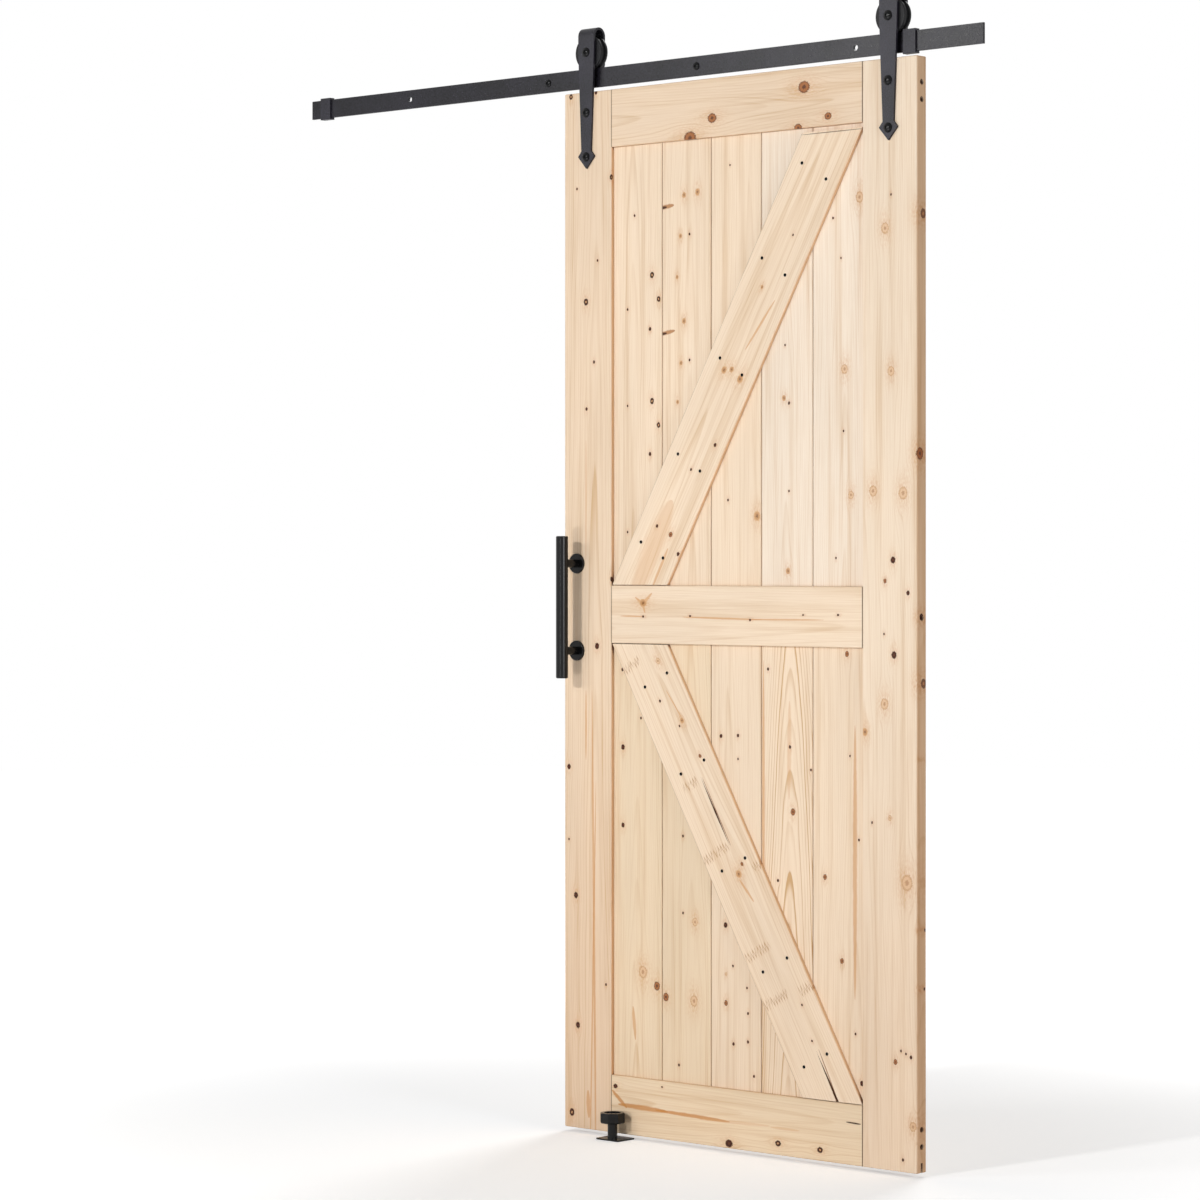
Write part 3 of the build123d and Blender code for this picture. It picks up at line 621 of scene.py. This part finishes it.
def make_pine_group():
    """Pine cut from a log: yearly rings round a pith that leans, fibres, and broad changes of tone."""
    inputs = {"Board": "vector", "Shift": "value", "Pith": "value", "Depth": "value", "Slope": "value",
              "Spacing": "value", "Seed": "vector", "Contrast": "value", "Tone": "colour"}
    tree, g, given, result = new_group("pine", inputs, {"Colour": "colour", "Fibre": "value"})
    board = g.vector("ADD", given["Board"], given["Seed"])
    along, across, depth = g.split(given["Board"])
    slow = g.math("SUBTRACT", g.noise(board, SLOW_WANDER_SCALE, detail=1.0), 0.5)
    quick = g.math("SUBTRACT", g.noise(board, QUICK_WANDER_SCALE), 0.5)
    wander = g.math("MULTIPLY_ADD", slow, SLOW_WANDER, g.math("MULTIPLY", quick, QUICK_WANDER))
    from_pith = g.math("SUBTRACT", g.math("SUBTRACT", across, given["Pith"]), given["Shift"])
    sideways = g.math("ADD", from_pith, wander)
    inward = g.math("SUBTRACT", depth, given["Depth"])
    radius = g.math("SQRT", g.math("ADD", g.square(sideways), g.square(inward)))
    ring = g.math("DIVIDE", g.math("MULTIPLY_ADD", along, given["Slope"], radius), given["Spacing"])
    season = g.math("FRACT", ring)
    year_number = {"W": g.math("FLOOR", ring)}
    year = g.node("ShaderNodeTexWhiteNoise", year_number, noise_dimensions="1D").outputs[0]
    late = g.math("MULTIPLY", g.smooth(season, *LATE_WOOD_RISE), g.fade(season, *LATE_WOOD_FALL))
    late = g.math("MULTIPLY", late, g.math("MULTIPLY_ADD", g.square(year), YEAR_CHANGE, YEAR_LEAST))
    fibre = g.noise(board, FIBRE_SCALE, detail=3.0)
    band = g.smooth(g.noise(board, BAND_SCALE), *BAND_RISE)
    broad = g.noise(board, BROAD_SCALE, detail=1.0)
    fine = g.math("MULTIPLY", g.math("SUBTRACT", fibre, FIBRE_MIDDLE), FIBRE_STRENGTH)
    grain = g.math("MULTIPLY", late, given["Contrast"])
    grain = g.math("ADD", grain, g.math("MULTIPLY", band, BAND_STRENGTH))
    grain = g.math("ADD", grain, fine, clamp=True)
    colour = g.mix(grain, given["Tone"], linear(LATE_WOOD))
    level = g.math("MULTIPLY_ADD", g.math("SUBTRACT", broad, 0.5), BROAD_STRENGTH, 1.0)
    grey = g.node("ShaderNodeCombineXYZ", {0: level, 1: level, 2: level}).outputs[0]
    g.feed(result["Colour"], g.vector("MULTIPLY", colour, grey))
    g.feed(result["Fibre"], fibre)
    return tree


bend_group = make_bend_group()
knot_group = make_knot_group()
finger_group = make_finger_group()
streak_group = make_streak_group()
pine_group = make_pine_group()


def grain_axis(node):
    """Unit vector along a board's longest arris, which its grain follows."""
    mesh = bmesh.new()
    mesh.from_mesh(nodes[node].data)
    arrises = [edge for edge in mesh.edges if len(edge.link_faces) == 1]
    longest = max(arrises, key=lambda edge: edge.calc_length())
    along = (longest.verts[1].co - longest.verts[0].co).normalized()
    mesh.free()
    return -along if along.x + along.z < 0 else along


def lay_of(node):
    """How a board lies: the corners of its box, and unit vectors along and across its grain."""
    low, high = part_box(node)
    along = grain_axis(node)
    return Lay(low, high, along, Vector((along.z, 0, -along.x)))


def pixel_size(lay):
    """Width of one of the photograph's pixels at a board, in metres."""
    return (CAMERA_PLACE - (lay.low + lay.high) / 2).length / FOCAL_PIXELS


def on_face(lay, pixel_x, pixel_y):
    """Board coordinates of what a pixel shows on the board's front face."""
    point = photo_point(pixel_x, pixel_y, lay.low.y)
    return Vector((point.dot(lay.along), point.dot(lay.across), 0))


def on_edge(lay, pixel_x, pixel_y):
    """Board coordinates of what a pixel shows on the board's right edge."""
    point = photo_point(pixel_x, pixel_y, lay.high.x, 0)
    return Vector((point.dot(lay.along), point.dot(lay.across), point.y - lay.low.y))


def place_knots(knots, lay, on_surface):
    """Centre, radius and look of each knot, from its place in the photograph."""
    size = pixel_size(lay) * KNOT_SCALE
    return [(on_surface(lay, knot.x, knot.y), knot.radius * size, knot.look) for knot in knots]


def new_material(name):
    """A material with one surface shader, and the graph that feeds it."""
    material = bpy.data.materials.new(name)
    material.use_nodes = True
    graph = Graph(material.node_tree)
    shader = material.node_tree.nodes["Principled BSDF"]
    place = graph.node("ShaderNodeTexCoord", {}).outputs["Object"]
    return material, graph, shader, place


def board_coordinates(g, place, lay):
    """Place along the grain, across it and behind the front face."""
    _, depth, _ = g.split(g.vector("SUBTRACT", place, (0, lay.low.y, 0)))
    along = g.vector("DOT_PRODUCT", place, lay.along)
    across = g.vector("DOT_PRODUCT", place, lay.across)
    return g.node("ShaderNodeCombineXYZ", {0: along, 1: across, 2: depth}).outputs[0]


def cut_pine(g, board, lay, look, number, knots):
    """Colour and fibres of a board's bare pine, with the grain pushed aside by its knots."""
    shift = 0.0
    for centre, radius, _ in knots:
        shift = g.group(bend_group, {"Board": board, "Centre": centre, "Radius": radius, "Shift": shift})[0]
    middle = ((lay.low + lay.high) / 2).dot(lay.across)
    seed = Vector([step * number for step in SEED_STEP])
    return g.group(pine_group, {
        "Board": board, "Shift": shift, "Pith": middle + look.pith * MM, "Depth": look.depth * MM,
        "Slope": look.slope, "Spacing": look.spacing * MM, "Seed": seed, "Contrast": look.contrast,
        "Tone": linear(look.tone),
    })


def paint_streaks(g, colour, board, lay, streaks):
    for streak in streaks:
        tint, strength = STREAK_LOOKS[streak.look]
        start = on_face(lay, streak.x1, streak.y1)
        end = on_face(lay, streak.x2, streak.y2)
        colour = g.group(streak_group, {
            "Board": board, "From": start, "To": end, "Width": streak.width * pixel_size(lay),
            "Tint": linear(tint), "Strength": strength, "Colour": colour,
        })[0]
    return colour


def paint_fingers(g, colour, board, lay, fingers):
    for finger in fingers:
        start = on_face(lay, finger.x1, finger.y1)
        end = on_face(lay, finger.x2, finger.y2)
        colour = g.group(finger_group, {
            "Board": board, "Centre": (start + end) / 2, "Half": abs(end.y - start.y) / 2, "Colour": colour,
        })[0]
    return colour


def paint_knots(g, colour, board, knots):
    for centre, radius, look in knots:
        heart, body, rim, strength = KNOT_LOOKS[look]
        colour = g.group(knot_group, {
            "Board": board, "Centre": centre, "Radius": radius, "Heart": linear(heart), "Body": linear(body),
            "Rim": linear(rim), "Strength": strength, "Colour": colour,
        })[0]
    return colour


def shade_left_arris(g, colour, place, lay, node):
    """Darkens the left arris of a brace."""
    left_arris = min(vertex.co.dot(lay.across) for vertex in nodes[node].data.vertices)
    from_arris = g.math("SUBTRACT", g.vector("DOT_PRODUCT", place, lay.across), left_arris)
    near = g.fade(from_arris, ARRIS_SHADE / 2, ARRIS_SHADE)
    return g.paint(colour, near, ARRIS_STRENGTH, linear(JOINT_SHADE))


def shade_rail_ends(g, colour, place):
    """Darkens a rail's two ends, where it meets the stiles."""
    place_x = g.split(place)[0]
    from_left = g.math("SUBTRACT", place_x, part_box("left_stile")[1].x)
    from_right = g.math("SUBTRACT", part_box("right_stile")[0].x, place_x)
    near = g.fade(g.math("MINIMUM", from_left, from_right), END_SHADE / 2, END_SHADE)
    return g.paint(colour, near, END_STRENGTH, linear(JOINT_SHADE))


def shade_low_down(g, colour, place, low_shade):
    """Paints shade on a board towards the floor: darker and warmer lower down."""
    below_track = g.math("MULTIPLY", g.split(place)[2], -1.0)
    return g.paint(colour, g.smooth(below_track, *LOW_SHADE_RISE), low_shade, LOW_SHADE, "MULTIPLY")


def shade_edges(g, colour):
    """Paints shade on the faces that look sideways, up or down: darker and warmer than the front."""
    facing_y = g.split(g.node("ShaderNodeNewGeometry", {}).outputs["Normal"])[1]
    edge = g.fade(g.math("ABSOLUTE", facing_y), *FRONT_FACE_RISE)
    return g.paint(colour, edge, EDGE_SHADE_STRENGTH, linear(EDGE_SHADE), "MULTIPLY")


def make_board_material(node, number):
    """Pine for one board, with the knots and streaks that the photograph shows on it."""
    lay = lay_of(node)
    material, g, shader, place = new_material(f"pine_{node}")
    board = board_coordinates(g, place, lay)
    knots = place_knots(KNOTS.get(node, []), lay, on_face)
    edge_knots = place_knots(EDGE_KNOTS.get(node, []), lay, on_edge)
    pine = cut_pine(g, board, lay, BOARDS[node], number, knots)
    colour = paint_streaks(g, pine["Colour"], board, lay, STREAKS.get(node, []))
    colour = paint_fingers(g, colour, board, lay, FINGERS.get(node, []))
    colour = paint_knots(g, colour, board, knots + edge_knots)
    if node in BRACE_SCREWS:
        colour = shade_left_arris(g, colour, place, lay, node)
    colour = shade_low_down(g, colour, place, STILE_LOW_SHADE if node.endswith("stile") else PANEL_LOW_SHADE)
    colour = shade_edges(g, colour)
    if node.endswith("rail"):
        colour = shade_rail_ends(g, colour, place)
    if node.endswith("stile") or node == "lower_brace":
        colour = g.mix(g.fade(g.openness(HOLE_REACH), *HOLE_RISE), colour, linear(HOLE_SHADE))
    in_joint = g.fade(g.openness(JOINT_REACH), *JOINT_RISE)
    colour = g.paint(colour, in_joint, JOINT_STRENGTH, linear(JOINT_SHADE))
    roughness = g.math("MULTIPLY_ADD", pine["Fibre"], PINE_ROUGHNESS_CHANGE, PINE_ROUGHNESS)
    g.feed(shader.inputs["Base Color"], colour)
    g.feed(shader.inputs["Roughness"], roughness)
    shader.inputs["Specular IOR Level"].default_value = PINE_SPECULAR
    bump_inputs = {"Strength": PINE_BUMP, "Distance": PINE_BUMP_HEIGHT, "Height": pine["Fibre"]}
    g.feed(shader.inputs["Normal"], g.node("ShaderNodeBump", bump_inputs).outputs[0])
    return material


def make_coat_material(name, coat):
    """Black fittings: a dark coat whose colour, gloss and surface vary finely."""
    material, g, shader, place = new_material(name)
    mottle = g.noise(place, (coat.mottle_scale,) * 3, detail=3.0)
    broad = g.noise(place, COAT_BROAD_SCALE)
    dark = linear([value * COAT_DARK for value in coat.colour])
    pale = linear([value * COAT_PALE for value in coat.colour])
    mixed = g.math("MULTIPLY_ADD", broad, COAT_BROAD_SHARE, g.math("MULTIPLY", mottle, 1 - COAT_BROAD_SHARE))
    least_roughness = coat.roughness - COAT_ROUGHNESS_CHANGE / 2
    roughness = g.math("MULTIPLY_ADD", mottle, COAT_ROUGHNESS_CHANGE, least_roughness)
    g.feed(shader.inputs["Base Color"], g.mix(g.smooth(mixed, *COAT_RISE), dark, pale))
    g.feed(shader.inputs["Roughness"], roughness)
    shader.inputs["Specular IOR Level"].default_value = coat.specular
    bump_inputs = {"Strength": coat.bump, "Distance": COAT_BUMP_HEIGHT, "Height": mottle}
    g.feed(shader.inputs["Normal"], g.node("ShaderNodeBump", bump_inputs).outputs[0])
    return material


def dress(node, material):
    """Gives a CAD node its finished material."""
    nodes[node].data.materials.clear()
    nodes[node].data.materials.append(material)


def add_object(name, data):
    """A new object in the scene, made of that mesh, lamp or camera."""
    made = bpy.data.objects.new(name, data)
    bpy.context.scene.collection.objects.link(made)
    return made


def make_screw(name, place, material):
    """A low domed screw head with a six-sided socket, seated on the face at place."""
    head = bmesh.new()
    loops = []
    for radius, height in SCREW_RINGS:
        loop = []
        for step in range(SCREW_SIDES):
            angle = 2 * math.pi * step / SCREW_SIDES
            corner = angle % (math.pi / 3) - math.pi / 6
            reach = math.cos(math.pi / 6) / math.cos(corner) if radius <= SCREW_SOCKET_RADIUS else 1
            spot = Vector((math.cos(angle) * radius * reach, -height, math.sin(angle) * radius * reach))
            loop.append(head.verts.new(place + spot))
        loops.append(loop)
    for lower, upper in zip(loops, loops[1:]):
        for step in range(SCREW_SIDES):
            after = (step + 1) % SCREW_SIDES
            head.faces.new((lower[step], lower[after], upper[after], upper[step]))
    head.faces.new(reversed(loops[0]))
    head.faces.new(loops[-1])
    bmesh.ops.recalc_face_normals(head, faces=head.faces)
    mesh = bpy.data.meshes.new(name)
    head.to_mesh(mesh)
    head.free()
    mesh.materials.append(material)
    screw = add_object(name, mesh)
    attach(screw, "door")


def rays_that_see_white(g):
    """1 for rays that should meet the white background: those of the camera, of gloss and of glass."""
    path = g.node("ShaderNodeLightPath", {}).outputs
    seen = g.math("ADD", path["Is Camera Ray"], path["Is Glossy Ray"])
    return g.math("ADD", seen, path["Is Transmission Ray"], clamp=True)


def make_floor_material(middle):
    """Pale and matt, with a glow that rises away from the door and leaves its shadow in view."""
    material = bpy.data.materials.new("pale_floor")
    material.use_nodes = True
    material.node_tree.nodes.clear()
    g = Graph(material.node_tree)
    matt = g.node("ShaderNodeBsdfDiffuse", {"Color": FLOOR_GREY}).outputs[0]
    place = g.node("ShaderNodeTexCoord", {}).outputs["Object"]
    from_door = g.vector("LENGTH", g.vector("SUBTRACT", place, (middle.x, 0, 0)))
    level = g.math("MULTIPLY_ADD", g.smooth(from_door, *GLOW_RISE), FAR_GLOW - NEAR_GLOW, NEAR_GLOW)
    glow = g.node("ShaderNodeEmission", {"Strength": g.math("MULTIPLY", rays_that_see_white(g), level)})
    both = g.node("ShaderNodeAddShader", {0: matt, 1: glow.outputs[0]}).outputs[0]
    g.node("ShaderNodeOutputMaterial", {"Surface": both})
    return material


def make_floor(middle):
    """A plain pale floor that keeps the object's shadow."""
    mesh = bpy.data.meshes.new("floor")
    disc = bmesh.new()
    bmesh.ops.create_circle(disc, cap_ends=True, radius=FLOOR_RADIUS, segments=FLOOR_SIDES)
    disc.to_mesh(mesh)
    disc.free()
    mesh.materials.append(make_floor_material(middle))
    floor = add_object("floor", mesh)
    floor.location.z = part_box("guide_plate")[0].z - FLOOR_DROP


def make_world():
    """White to the camera and to gloss, and a plain dim light to everything else."""
    world = bpy.data.worlds.new("studio")
    bpy.context.scene.world = world
    world.use_nodes = True
    world.node_tree.nodes.clear()
    g = Graph(world.node_tree)
    dim = g.node("ShaderNodeBackground", {"Color": WHITE, "Strength": AMBIENT_LEVEL}).outputs[0]
    white = g.node("ShaderNodeBackground", {"Color": WHITE, "Strength": 1.0}).outputs[0]
    both = g.node("ShaderNodeMixShader", {0: rays_that_see_white(g), 1: dim, 2: white}).outputs[0]
    g.node("ShaderNodeOutputWorld", {"Surface": both})


def make_lamp(name, place, aim, level, size, height=None):
    """A flat lamp that gives a white surface facing it that share of full brightness."""
    light = bpy.data.lights.new(name, "AREA")
    light.shape = "RECTANGLE"
    light.size = size
    light.size_y = height or size
    light.energy = 4 * math.pi * level * (aim - place).length_squared
    lamp = add_object(name, light)
    lamp.location = place
    lamp.rotation_euler = (aim - place).to_track_quat("-Z", "Y").to_euler()
    lamp.visible_camera = False


def in_front(angle, distance):
    """Place straight in front of the handle, at an angle above the level, in degrees."""
    rise = math.radians(angle)
    return HANDLE_PLACE + Vector((0, -math.cos(rise), math.sin(rise))) * distance


def make_lamps(middle):
    """Two small lamps in front that cast the handle's shadows, and wide ones at the sides and behind."""
    high_place = in_front(HIGH_LAMP_ANGLE, HIGH_LAMP_DISTANCE)
    low_place = in_front(LOW_LAMP_ANGLE, LOW_LAMP_DISTANCE)
    make_lamp("high_lamp", high_place, HANDLE_PLACE, HIGH_LAMP_LEVEL, LAMP_SIZE)
    make_lamp("low_lamp", low_place, HANDLE_PLACE, LOW_LAMP_LEVEL, LAMP_SIZE)
    make_lamp("side_lamp", SIDE_LAMP_PLACE, middle, SIDE_LAMP_LEVEL, SIDE_LAMP_SIZE)
    make_lamp("sheen_lamp", SHEEN_LAMP_PLACE, SHEEN_LAMP_AIM, SHEEN_LAMP_LEVEL, SHEEN_LAMP_SIZE)
    make_lamp("strip_lamp", STRIP_LAMP_PLACE, HANDLE_PLACE, STRIP_LAMP_LEVEL, *STRIP_LAMP_SIZE)
    make_lamp("back_lamp", BACK_LAMP_PLACE, middle, BACK_LAMP_LEVEL, BACK_LAMP_SIZE)


def make_camera():
    """The camera of the photograph."""
    data = bpy.data.cameras.new("camera")
    data.sensor_width = SENSOR_MM
    data.lens = SENSOR_MM * FOCAL_PIXELS / PHOTO_PIXELS
    data.shift_x = (PHOTO_PIXELS / 2 - PRINCIPAL_X) / PHOTO_PIXELS
    data.shift_y = (PRINCIPAL_Y - PHOTO_PIXELS / 2) / PHOTO_PIXELS
    camera = add_object("camera", data)
    camera.location = CAMERA_PLACE
    camera.rotation_euler = CAMERA_LOOK.to_track_quat("-Z", "Y").to_euler()
    bpy.context.scene.camera = camera


coat_materials = {name: make_coat_material(name, coat) for name, coat in COATS.items()}
for number, board_name in enumerate(BOARDS):
    dress(board_name, make_board_material(board_name, number))
for subpart in frame["record"]["subparts"]:
    if subpart["material_slot"] in COATS:
        dress(subpart["node"], coat_materials[subpart["material_slot"]])
for node_name, coat_name in OWN_COATS.items():
    dress(node_name, coat_materials[coat_name])
for brace, pixels in BRACE_SCREWS.items():
    for number, (pixel_x, pixel_y) in enumerate(pixels, 1):
        seat = photo_point(pixel_x, pixel_y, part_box(brace)[0].y)
        make_screw(f"{brace}_screw_{number}", seat, coat_materials["black_bolts"])

door_middle = (cad_low + cad_high) / 2
make_floor(door_middle)
make_world()
make_lamps(door_middle)
make_camera()
bpy.context.scene.view_settings.view_transform = "Standard"
